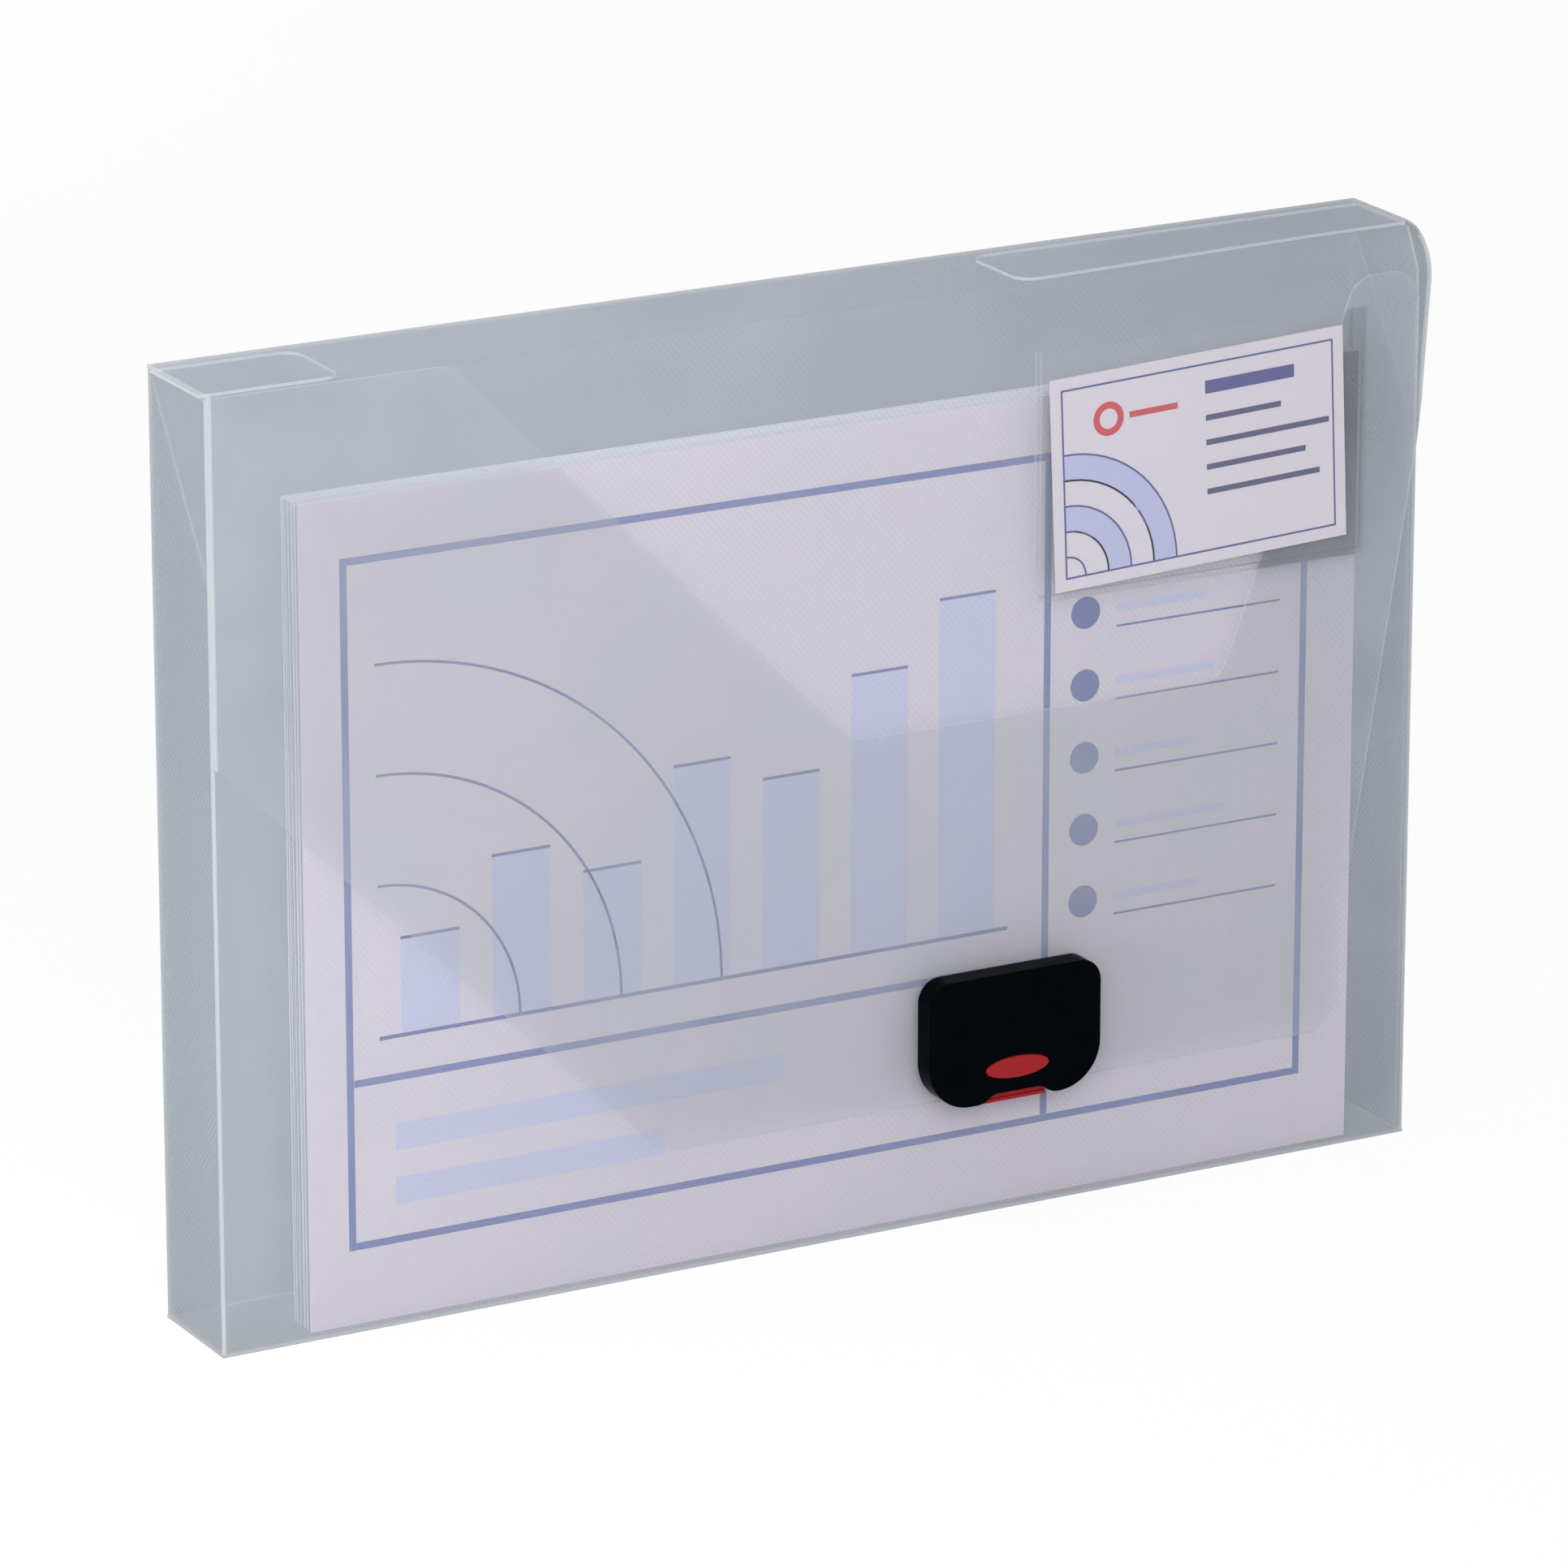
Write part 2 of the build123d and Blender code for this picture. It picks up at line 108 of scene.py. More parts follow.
def polypropylene(name, flat_axis, haze, tint, crease_alpha=0.3):
    """Extruded polypropylene sheet, frosted by a fine diagonal emboss: satin, milky and seen through.

    Creases and cut edges scatter more light, so they are whiter and less clear. Along the case's folds the
    whiter colour is both real stress whitening and a painted highlight. flat_axis is the axis that the
    sheet's faces look along, None for a sheet whose cut edges have their own material.
    """
    material, tree, output = new_material(name)
    place = add_node(tree, "ShaderNodeTexCoord")
    turned = add_node(
        tree, "ShaderNodeMapping", [("Scale", (1, 1, emboss_slope))], [("Vector", place.outputs["Object"])]
    )
    # the emboss repeats every 1.3 mm across its lines, coarser than the real one so that it shows; its
    # grooves turn light away, and their darker tint is painted shade. A diagonal wave counts each axis at
    # half the rate
    axis_pitch = emboss_pitch * math.hypot(1, emboss_slope)
    emboss = add_node(
        tree, "ShaderNodeTexWave",
        [("wave_type", "BANDS"), ("bands_direction", "DIAGONAL"), ("Scale", 2 * band_scale(axis_pitch)),
         ("Distortion", 0.1), ("Detail", 0.0), ("Detail Scale", 2.0)],
        [("Vector", turned.outputs[0])],
    )
    # slow mottling of the sheet's haze, about 30 mm across
    cloud = add_node(
        tree, "ShaderNodeTexNoise", [("Scale", noise_scale(haze_size)), ("Detail", 1.0)],
        [("Vector", place.outputs["Object"])],
    )
    # where the point lies in two of the case's outer planes at once, as at a folded edge, the sheet is
    # whitened like a real crease and carries a painted highlight of the fold; the fold at the front of the
    # lid is a softer one and stays clear
    where = add_node(tree, "ShaderNodeSeparateXYZ", (), [(0, place.outputs["Object"])])
    height = add_node(
        tree, "ShaderNodeMath", [("operation", "SUBTRACT"), (1, half_height / 1000)],
        [(0, where.outputs["Z"])],
    )
    near_face = (half_depth - fold_band) / 1000
    at_end = step_above(tree, where.outputs["X"], (half_width - fold_band) / 1000)
    at_face = step_above(tree, where.outputs["Y"], near_face)
    at_level = step_above(tree, height.outputs[0], (half_height - fold_band) / 1000)
    at_rear = add_node(
        tree, "ShaderNodeMath", [("operation", "GREATER_THAN"), (1, near_face)], [(0, where.outputs["Y"])]
    )
    either = add_node(tree, "ShaderNodeMath", [("operation", "MAXIMUM")], [(0, at_face), (1, at_level)])
    end_fold = add_node(
        tree, "ShaderNodeMath", [("operation", "MULTIPLY")], [(0, at_end), (1, either.outputs[0])]
    )
    rear_fold = add_node(
        tree, "ShaderNodeMath", [("operation", "MULTIPLY")], [(0, at_rear.outputs[0]), (1, at_level)]
    )
    white = add_node(
        tree, "ShaderNodeMath", [("operation", "MAXIMUM")],
        [(0, end_fold.outputs[0]), (1, rear_fold.outputs[0])],
    ).outputs[0]
    if flat_axis is not None:
        facing = add_node(tree, "ShaderNodeSeparateXYZ", (), [(0, place.outputs["Normal"])])
        on_face = step_above(tree, facing.outputs[flat_axis], 0.5)
        cut = add_node(tree, "ShaderNodeMath", [("operation", "SUBTRACT"), (0, 1.0)], [(1, on_face)])
        white = add_node(
            tree, "ShaderNodeMath", [("operation", "MAXIMUM")], [(0, white), (1, cut.outputs[0])]
        ).outputs[0]
    # painted shade in the emboss grooves: a darker tint, with more opacity below
    groove_painted_shade = add_node(
        tree, "ShaderNodeMix",
        [("data_type", "RGBA"), (6, linear(tint)), (7, linear("#b4bac6"))],
        [(0, emboss.outputs["Fac"])],
    )
    # whiter and less clear at folds and cut edges: real whitening, and at the folds a painted highlight too
    colour = add_node(
        tree, "ShaderNodeMix",
        [("data_type", "RGBA"), (7, linear("#e6eaec"))],
        [(0, white), (6, groove_painted_shade.outputs[2])],
    )
    thick = add_node(
        tree, "ShaderNodeMapRange",
        [("From Min", 0.3), ("From Max", 0.7), ("To Min", haze - haze_swing), ("To Max", haze + haze_swing)],
        [("Value", cloud.outputs[0])],
    )
    # the grooves' painted shade also makes them less clear
    lines = add_node(
        tree, "ShaderNodeMath", [("operation", "MULTIPLY_ADD"), (1, emboss_haze)],
        [(0, emboss.outputs["Fac"]), (2, thick.outputs[0])],
    )
    alpha = add_node(
        tree, "ShaderNodeMix", [("data_type", "FLOAT"), (3, crease_alpha)],
        [(0, white), (2, lines.outputs[0])],
    )
    # most of the light that the haze catches goes on inwards, so the sheet throws only a faint shadow
    path = add_node(tree, "ShaderNodeLightPath")
    passed = add_node(
        tree, "ShaderNodeMath", [("operation", "MULTIPLY_ADD"), (1, shadow_share - 1), (2, 1.0)],
        [(0, path.outputs["Is Shadow Ray"])],
    )
    stopped = add_node(
        tree, "ShaderNodeMath", [("operation", "MULTIPLY")], [(0, alpha.outputs[0]), (1, passed.outputs[0])]
    )
    relief = add_node(
        tree, "ShaderNodeBump", [("Strength", 0.2), ("Distance", 0.0002)], [("Height", emboss.outputs["Fac"])]
    )
    skin = add_node(
        tree, "ShaderNodeBsdfPrincipled",
        [("Roughness", 0.34), ("IOR", 1.49)],
        [("Base Color", colour.outputs[2]), ("Alpha", stopped.outputs[0]), ("Normal", relief.outputs[0])],
    )
    tree.links.new(skin.outputs[0], output.inputs[0])
    return material


def dress(node, *materials):
    """Gives a node of the frame its materials."""
    slots = nodes[node].data.materials
    slots.clear()
    for material in materials:
        slots.append(material)


# The copies of the one sheet differ in tint and haze. The back's darker, hazier tint is painted shade of the
# case's inside, and the sides' darker tint is painted shade on the case's ends
front_sheet = polypropylene("polypropylene_sheet_front", "Y", 0.065, "#dfe3ea")
back_sheet_painted_shade = polypropylene("polypropylene_sheet_back_painted_shade", "Y", 0.17, "#c0c7cf")
side_sheet_painted_shade = polypropylene("polypropylene_sheet_side_painted_shade", "X", 0.09, "#b6bbc1")
tab_sheet = polypropylene("polypropylene_sheet_tab", "X", 0.2, "#ccd0d3", 0.2)
dust_sheet = polypropylene("polypropylene_sheet_dust_flap", "Z", 0.12, "#dfe2e7", 0.5)
flat_sheet = polypropylene("polypropylene_sheet_top_and_bottom", "Z", 0.12, "#d0d4da")
dress("front_panel", front_sheet)
dress("back_panel", back_sheet_painted_shade)
dress("bottom_panel", flat_sheet)
for side in ("left", "right"):
    dress(f"{side}_side_panel", side_sheet_painted_shade)
    dress(f"{side}_weld_tab", tab_sheet)
    dress(f"{side}_dust_flap", dust_sheet)

# Lid and closing flap: one piece of the same sheet, creased along the rear edge and bent over the front.
# The front fold is crisp at the left, and softens to a wide bend that stands forward at the right end.
sheet = 0.8
flap_face = -18.0
lid_run = half_depth - flap_face
crown_height = 42.0
crisp_radius = 1.0
soft_radius = 12.0
soft_start = 10.0
flare = 4.5
flare_start = 152.0
hem_height = 32.7
hem_left = -48.3
hem_right = 147.0
knee_height = 58.2
shoulder_height = 185.2
side_inset = 1.5
side_rise = 13.0
slope_height = 150.2
slope_radius = 12.0
foot_radius = 9.0
notch_left = 33.8
notch_right = 63.8
notch_height = 49.8
soft_cuts = 20
flare_cuts = 10


def run_at(height):
    """How far along the sheet from the rear crease a height on the flap lies."""
    return lid_run + case_top - height


hem_run = run_at(hem_height)
knee_run = run_at(knee_height)
shoulder_run = run_at(shoulder_height)
slope_run = run_at(slope_height)
notch_run = run_at(notch_height)
slope_turn = math.atan2(slope_height - hem_height, hem_left + half_width)


def soft_share(x, start):
    """How far the bend has softened at x: 0 up to start, 1 at the right end."""
    return max(0.0, (x - start) / (half_width - start)) ** 2


def bent(x, run):
    """Depth and height of the sheet's outer face, run millimetres along it from the rear crease."""
    corner = Vector((flap_face - flare * soft_share(x, flare_start), case_top))
    radius = crisp_radius + (soft_radius - crisp_radius) * soft_share(x, soft_start)
    rear = Vector((half_depth, case_top))
    foot = Vector((flap_face, case_top - crown_height))
    half = (rear - corner).angle(foot - corner) / 2
    reach = radius / math.tan(half)
    past_fold = run - lid_run
    if abs(past_fold) < reach:
        turn = (past_fold + reach) / (2 * reach) * (math.pi - 2 * half)
        centre = corner + Vector((reach, -radius))
        return centre + radius * Vector((-math.sin(turn), math.cos(turn)))
    if past_fold <= 0:
        return rear.lerp(corner, run / lid_run)
    if past_fold <= crown_height:
        return corner.lerp(foot, past_fold / crown_height)
    return foot - Vector((0, past_fold - crown_height))


def cut_line(bm, point, across, clear=False):
    """Cuts a flat mesh along a line through point; across points to the side that clear takes away."""
    bmesh.ops.bisect_plane(
        bm, geom=bm.verts[:] + bm.edges[:] + bm.faces[:], dist=0.0001,
        plane_co=(*point, 0), plane_no=Vector((*across, 0)).normalized(), clear_outer=clear,
    )


def remove_faces(bm, unwanted):
    """Takes away the faces whose middle is unwanted."""
    bmesh.ops.delete(bm, geom=[f for f in bm.faces if unwanted(f.calc_center_median())], context="FACES")


def round_corners(bm, corners, reach, segments=8):
    """Rounds the flat outline's corners at the given points, from reach before each to reach past it."""
    verts = [v for v in bm.verts if any((v.co.xy - Vector(c)).length < 0.01 for c in corners)]
    bmesh.ops.bevel(
        bm, geom=verts, offset=reach, offset_type="OFFSET", affect="VERTICES", segments=segments,
        profile=0.5, material=-1,
    )


def blank(width, height, centre):
    """A flat rectangle in a new bmesh."""
    bm = bmesh.new()
    bmesh.ops.create_grid(bm, x_segments=1, y_segments=1, size=0.5)
    bmesh.ops.scale(bm, vec=(width, height, 1), verts=bm.verts)
    bmesh.ops.translate(bm, vec=(*centre, 0), verts=bm.verts)
    return bm


def make_piece(name, bm, materials, sharp=30.0):
    """Turns a bmesh in millimetres into an object, smooth where its faces meet at less than sharp degrees."""
    bmesh.ops.scale(bm, vec=(0.001, 0.001, 0.001), verts=bm.verts)
    mesh = bpy.data.meshes.new(name)
    bm.to_mesh(mesh)
    bm.free()
    for material in materials:
        mesh.materials.append(material)
    mesh.shade_smooth()
    mesh.set_sharp_from_angle(angle=math.radians(sharp))
    piece = bpy.data.objects.new(name, mesh)
    bpy.context.scene.collection.objects.link(piece)
    return piece


def outside_right_edge(middle):
    """True right of the flap's leaning edge."""
    x, run = middle.x, middle.y
    if run > knee_run:
        return x > hem_right
    if run > shoulder_run:
        lean = (run - shoulder_run) / (knee_run - shoulder_run)
        return x > half_width - side_inset - lean * (half_width - side_inset - hem_right)
    taper = (run - shoulder_run + side_rise) / side_rise
    return taper > 0 and x > half_width - taper * side_inset


bm = blank(2 * half_width, hem_run, (0, hem_run / 2))
cut_line(bm, (hem_left, hem_run), (slope_run - hem_run, hem_left + half_width), clear=True)
for level in (knee_run, shoulder_run, shoulder_run - side_rise, notch_run):
    cut_line(bm, (0, level), (0, 1))
for across in (hem_right, notch_left, notch_right):
    cut_line(bm, (across, 0), (1, 0))
cut_line(bm, (hem_right, knee_run), (knee_run - shoulder_run, half_width - side_inset - hem_right))
cut_line(bm, (half_width, shoulder_run - side_rise), (side_rise, side_inset))
remove_faces(bm, outside_right_edge)
remove_faces(bm, lambda middle: notch_left < middle.x < notch_right and middle.y > notch_run)
bmesh.ops.dissolve_limit(bm, angle_limit=0.001, verts=bm.verts, edges=bm.edges)
round_corners(bm, [(hem_left, hem_run)], slope_radius * math.tan(slope_turn / 2))
round_corners(bm, [(hem_right, hem_run)], foot_radius)
# cuts beside the front fold, closest together where its crisp end bends
fold_cuts = (0, 0.35, 0.7, 1.0, 1.4, 1.9, 2.5, 3.2, 4, 5, 6, 7, 8, 9, 10, 11.2, 12.5, 14)
for level in sorted({lid_run + side * cut for cut in fold_cuts for side in (-1, 1)}):
    cut_line(bm, (0, level), (0, 1))
cut_line(bm, (0, lid_run + crown_height), (0, 1))
for n in range(soft_cuts):
    cut_line(bm, (soft_start + (flare_start - soft_start) * n / soft_cuts, 0), (1, 0))
for n in range(flare_cuts):
    cut_line(bm, (flare_start + (half_width - flare_start) * n / flare_cuts, 0), (1, 0))
for vert in bm.verts:
    vert.co = Vector((vert.co.x, *bent(vert.co.x, vert.co.y)))
bmesh.ops.reverse_faces(bm, faces=bm.faces)
outer = set(bm.verts)
bmesh.ops.solidify(bm, geom=bm.faces[:], thickness=sheet)
for face in bm.faces:
    shared = sum(vert in outer for vert in face.verts)
    face.material_index = 1 if 0 < shared < len(face.verts) else 0
flap_sheet = polypropylene("polypropylene_sheet_lid_and_flap", None, 0.07, "#dfe3ea")
# cut edge of the same sheet: white and hardly clear, because the blade leaves it rough
cut_edge = polypropylene("polypropylene_cut_edge", None, 0.3, "#dfe4e8", 0.35)
lid_and_flap = make_piece("lid_and_flap_sheet", bm, [flap_sheet, cut_edge], 35.0)
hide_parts("lid_panel", "closing_flap")
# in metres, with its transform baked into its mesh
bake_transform(lid_and_flap)

# Clasp cover: an injection-moulded shell in polished black ABS on the flap, with rounded edges, an oval
# window for the release button and a thumb notch below it. A plate inside the flap holds it by two pins.
cover_width = 49.6
cover_height = 33.8
cover_low = 32.1
cover_x = 48.0
cover_proud = 6.0
cover_wall = 1.4
cover_edge_radius = 1.8
cover_top_radius = 6.0
cover_bottom_radius = 12.0
window_x = 48.8
window_z = 40.6
window_half = (9.5, 3.25)
thumb_half = 7.0
thumb_depth = 2.3
thumb_slant = 3.0
thumb_corner = 1.6
rim_radius = 0.2
# how sharply an edge has to turn before it is rounded, in radians
outline_turn = 1.0
rim_turn = 1.2


def black_abs():
    """Polished moulded ABS: near black, glossy, with a slight ripple from the mould."""
    material, tree, output = new_material("moulded_abs_black")
    place = add_node(tree, "ShaderNodeTexCoord")
    ripple = add_node(
        tree, "ShaderNodeTexNoise", [("Scale", noise_scale(11.1)), ("Detail", 2.0)],
        [("Vector", place.outputs["Object"])],
    )
    # fine handling scuffs about 1 mm long, which only change the gloss
    scuff = add_node(
        tree, "ShaderNodeTexNoise", [("Scale", noise_scale(1.11)), ("Detail", 4.0)],
        [("Vector", place.outputs["Object"])],
    )
    gloss = add_node(
        tree, "ShaderNodeMapRange",
        [("From Min", 0.35), ("From Max", 0.75), ("To Min", 0.1), ("To Max", 0.18)],
        [("Value", scuff.outputs[0])],
    )
    shade = add_node(
        tree, "ShaderNodeMix",
        [("data_type", "RGBA"), (6, linear("#010407")), (7, linear("#03070a"))],
        [(0, ripple.outputs[0])],
    )
    relief = add_node(
        tree, "ShaderNodeBump", [("Strength", 0.05), ("Distance", 0.0005)], [("Height", ripple.outputs[0])]
    )
    skin = add_node(
        tree, "ShaderNodeBsdfPrincipled",
        [("IOR", 1.53), ("Specular IOR Level", 0.012)],
        [("Base Color", shade.outputs[2]), ("Roughness", gloss.outputs[0]), ("Normal", relief.outputs[0])],
    )
    tree.links.new(skin.outputs[0], output.inputs[0])
    return material


def in_window(vert):
    """True for a point of the window's outline, once the cover stands upright."""
    beside = abs(vert.co.x - window_x) < window_half[0] + 0.1
    return beside and abs(vert.co.z - window_z) < window_half[1] + 0.1


def stand_up(bm, depth):
    """Turns a flat mesh drawn in X and Z upright, so that it faces the front at the given depth."""
    bmesh.ops.rotate(bm, cent=(0, 0, 0), matrix=Matrix.Rotation(math.pi / 2, 3, "X"), verts=bm.verts)
    bmesh.ops.translate(bm, vec=(0, depth, 0), verts=bm.verts)


bm = blank(cover_width, cover_height, (cover_x, cover_low + cover_height / 2))
thumb_top = cover_low + thumb_depth
for side in (-1, 1):
    cut_line(bm, (window_x + side * thumb_half, thumb_top), (side * thumb_depth, thumb_slant))
cut_line(bm, (0, thumb_top), (0, 1))
remove_faces(
    bm, lambda m: m.y < thumb_top
    and abs(m.x - window_x) < thumb_half + (thumb_top - m.y) * thumb_slant / thumb_depth,
)
bmesh.ops.dissolve_limit(bm, angle_limit=0.001, verts=bm.verts, edges=bm.edges)
left, right = cover_x - cover_width / 2, cover_x + cover_width / 2
round_corners(bm, [(left, cover_low + cover_height), (right, cover_low + cover_height)], cover_top_radius, 10)
round_corners(bm, [(left, cover_low), (right, cover_low)], cover_bottom_radius, 14)
thumb_mouth = thumb_half + thumb_slant
round_corners(bm, [(window_x - thumb_mouth, cover_low), (window_x + thumb_mouth, cover_low)], thumb_corner, 5)
round_corners(bm, [(window_x - thumb_half, thumb_top), (window_x + thumb_half, thumb_top)], thumb_corner, 5)
bmesh.ops.delete(bm, geom=bm.faces[:], context="FACES_ONLY")
rim = bmesh.ops.create_circle(bm, segments=56, radius=1.0)["verts"]
bmesh.ops.scale(bm, vec=(*window_half, 1), verts=rim)
bmesh.ops.translate(bm, vec=(window_x, window_z, 0), verts=rim)
bmesh.ops.triangle_fill(bm, edges=bm.edges[:], use_beauty=True, normal=(0, 0, 1))
stand_up(bm, flap_face - cover_proud)
outline_edges = [e for e in bm.edges if e.is_boundary and not all(in_window(v) for v in e.verts)]
wall = bmesh.ops.extrude_edge_only(bm, edges=outline_edges)["geom"]
bmesh.ops.translate(
    bm, vec=(0, cover_proud, 0), verts=[v for v in wall if isinstance(v, bmesh.types.BMVert)]
)
# at the thumb notch only the front wall is there, so that the keeper's lip can pass
for vert in bm.verts:
    beside = abs(vert.co.x - window_x) < thumb_mouth + 0.2
    if beside and vert.co.z < thumb_top + 0.01 and vert.co.y > flap_face - 1:
        vert.co.y = flap_face - cover_proud + 2 * cover_wall
corner_edges = [
    e for e in bm.edges if len(e.link_faces) == 2 and e.calc_face_angle(0) > outline_turn
    and all(abs(v.co.y - flap_face + cover_proud) < 0.001 for v in e.verts)
]
bmesh.ops.bevel(
    bm, geom=corner_edges, offset=cover_edge_radius, offset_type="OFFSET", affect="EDGES", segments=6,
    profile=0.5, material=-1, clamp_overlap=True,
)
bmesh.ops.recalc_face_normals(bm, faces=bm.faces)
if max(bm.faces, key=lambda f: f.calc_area()).normal.y > 0:
    bmesh.ops.reverse_faces(bm, faces=bm.faces)
bmesh.ops.solidify(bm, geom=bm.faces[:], thickness=cover_wall)
rim_edges = [e for e in bm.edges if len(e.link_faces) == 2 and e.calc_face_angle(0) > rim_turn]
bmesh.ops.bevel(
    bm, geom=rim_edges, offset=rim_radius, offset_type="OFFSET", affect="EDGES", segments=2,
    profile=0.5, material=-1, clamp_overlap=True,
)
clasp_shell = make_piece("clasp_cover_shell", bm, [black_abs()], 40.0)
even = clasp_shell.modifiers.new("even_shading", "WEIGHTED_NORMAL")
even.keep_sharp = True
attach(clasp_shell, "flap")
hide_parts("clasp_cover")
for name in ("clasp_cover_plate", "clasp_cover_rivets"):
    dress(name, clasp_shell.data.materials[0])

# Keeper and release button: red ABS mouldings on the front panel, satin from the mould.
# The button shows in the cover's window and the keeper's lip in the thumb notch.


def red_abs():
    """Satin moulded ABS in signal red, with a faint grain."""
    material, tree, output = new_material("moulded_abs_red")
    place = add_node(tree, "ShaderNodeTexCoord")
    grain = add_node(
        tree, "ShaderNodeTexNoise", [("Scale", noise_scale(0.556)), ("Detail", 2.0)],
        [("Vector", place.outputs["Object"])],
    )
    shade = add_node(
        tree, "ShaderNodeMix",
        [("data_type", "RGBA"), (6, linear("#921a1e")), (7, linear("#a22126"))],
        [(0, grain.outputs[0])],
    )
    relief = add_node(
        tree, "ShaderNodeBump", [("Strength", 0.1), ("Distance", 0.0001)], [("Height", grain.outputs[0])]
    )
    skin = add_node(
        tree, "ShaderNodeBsdfPrincipled",
        [("IOR", 1.53), ("Specular IOR Level", 0.12), ("Roughness", 0.38)],
        [("Base Color", shade.outputs[2]), ("Normal", relief.outputs[0])],
    )
    tree.links.new(skin.outputs[0], output.inputs[0])
    return material


red_moulding = red_abs()
for name in ("clasp_keeper", "keeper_backplate", "keeper_rivets", "release_button"):
    dress(name, red_moulding)

# Card pocket: a clear vinyl film welded to the flap along three sides, open at the top.


def clear_vinyl():
    """Calendered vinyl film: nearly clear, glossy, with slow waves that break up its reflection."""
    material, tree, output = new_material("calendered_vinyl_clear")
    place = add_node(tree, "ShaderNodeTexCoord")
    wave = add_node(
        tree, "ShaderNodeTexNoise", [("Scale", noise_scale(16.7)), ("Detail", 1.0)],
        [("Vector", place.outputs["Object"])],
    )
    facing = add_node(tree, "ShaderNodeSeparateXYZ", (), [(0, place.outputs["Normal"])])
    on_face = step_above(tree, facing.outputs["Y"], 0.5)
    alpha = add_node(
        tree, "ShaderNodeMix", [("data_type", "FLOAT"), (2, 0.2), (3, 0.04)], [(0, on_face)]
    )
    relief = add_node(
        tree, "ShaderNodeBump", [("Strength", 0.1), ("Distance", 0.001)], [("Height", wave.outputs[0])]
    )
    skin = add_node(
        tree, "ShaderNodeBsdfPrincipled",
        [("Base Color", linear("#dde1e6")), ("IOR", 1.53), ("Roughness", 0.12)],
        [("Alpha", alpha.outputs[0]), ("Normal", relief.outputs[0])],
    )
    tree.links.new(skin.outputs[0], output.inputs[0])
    return material


dress("card_pocket", clear_vinyl())

# Card: smooth white card, a little askew in the pocket, with a plain printed design of its own.
card_centre = (102.9, 190.6)
card_tilt = 2.4
card_face = -18.9
card_frame = (-39.5, -24.5, 79, 49)
line_left = 2
line_step = 6.4
ring_centre = (-39, -24)
ring_step = 6.6
ring_start = 5
mark_centre = (-26, 15)
ink_depth = 0.03
ink_sunk = 0.005
ink_mottle = 14


def paper(name, light, dark, fibre, roughness):
    """Paper or board: matt, with a faint cloud of fibres, fibre millimetres across."""
    material, tree, output = new_material(name)
    place = add_node(tree, "ShaderNodeTexCoord")
    cloud = add_node(
        tree, "ShaderNodeTexNoise", [("Scale", noise_scale(fibre)), ("Detail", 5.0)],
        [("Vector", place.outputs["Object"])],
    )
    shade = add_node(
        tree, "ShaderNodeMix",
        [("data_type", "RGBA"), (6, linear(light)), (7, linear(dark))],
        [(0, cloud.outputs[0])],
    )
    relief = add_node(
        tree, "ShaderNodeBump", [("Strength", 0.08), ("Distance", 0.0001)], [("Height", cloud.outputs[0])]
    )
    skin = add_node(
        tree, "ShaderNodeBsdfPrincipled",
        [("IOR", 1.5), ("Roughness", roughness)],
        [("Base Color", shade.outputs[2]), ("Normal", relief.outputs[0])],
    )
    tree.links.new(skin.outputs[0], output.inputs[0])
    return material


def ink(name, code):
    """Printing ink on paper: matt, a little uneven where the fibres took less of it."""
    parts = [min(255, int(code[n:n + 2], 16) + ink_mottle) for n in (1, 3, 5)]
    return paper(name, code, "#" + "".join(f"{part:02x}" for part in parts), 0.8, 0.6)


def bar(bm, x, z, width, height, material=0):
    """A printed rectangle from its lower left corner."""
    made = bmesh.ops.create_grid(bm, x_segments=1, y_segments=1, size=0.5)["verts"]
    bmesh.ops.scale(bm, vec=(width, height, 1), verts=made)
    bmesh.ops.translate(bm, vec=(x + width / 2, z + height / 2, 0), verts=made)
    for face in {f for v in made for f in v.link_faces}:
        face.material_index = material


def border(bm, x, z, width, height, line, material=0):
    """A printed frame of the given line width."""
    bar(bm, x, z, width, line, material)
    bar(bm, x, z + height - line, width, line, material)
    bar(bm, x, z + line, line, height - 2 * line, material)
    bar(bm, x + width - line, z + line, line, height - 2 * line, material)


def arc(bm, centre, inner, outer_radius, start, turn, steps, material=0):
    """A printed part of a ring: its radial edge spun about the centre."""
    along = Vector((math.cos(math.radians(start)), math.sin(math.radians(start)), 0))
    ends = [bm.verts.new(Vector((*centre, 0)) + radius * along) for radius in (inner, outer_radius)]
    edge = bm.edges.new(ends)
    made = set(bm.faces)
    bmesh.ops.spin(
        bm, geom=[*ends, edge], cent=(*centre, 0), axis=(0, 0, 1), angle=math.radians(turn), steps=steps,
        use_merge=turn == 360, use_duplicate=False,
    )
    for face in set(bm.faces) - made:
        face.material_index = material


def print_piece(name, bm, face_depth, materials):
    """Stands a drawing up on the paper face at face_depth and gives it the thickness of its ink."""
    bmesh.ops.recalc_face_normals(bm, faces=bm.faces)
    for face in bm.faces:
        if face.normal.z < 0:
            face.normal_flip()
    made = bmesh.ops.extrude_face_region(bm, geom=bm.faces[:])["geom"]
    raised = [v for v in made if isinstance(v, bmesh.types.BMVert)]
    bmesh.ops.translate(bm, vec=(0, 0, ink_depth), verts=raised)
    bmesh.ops.recalc_face_normals(bm, faces=bm.faces)
    stand_up(bm, face_depth + ink_sunk)
    return make_piece(name, bm, materials)


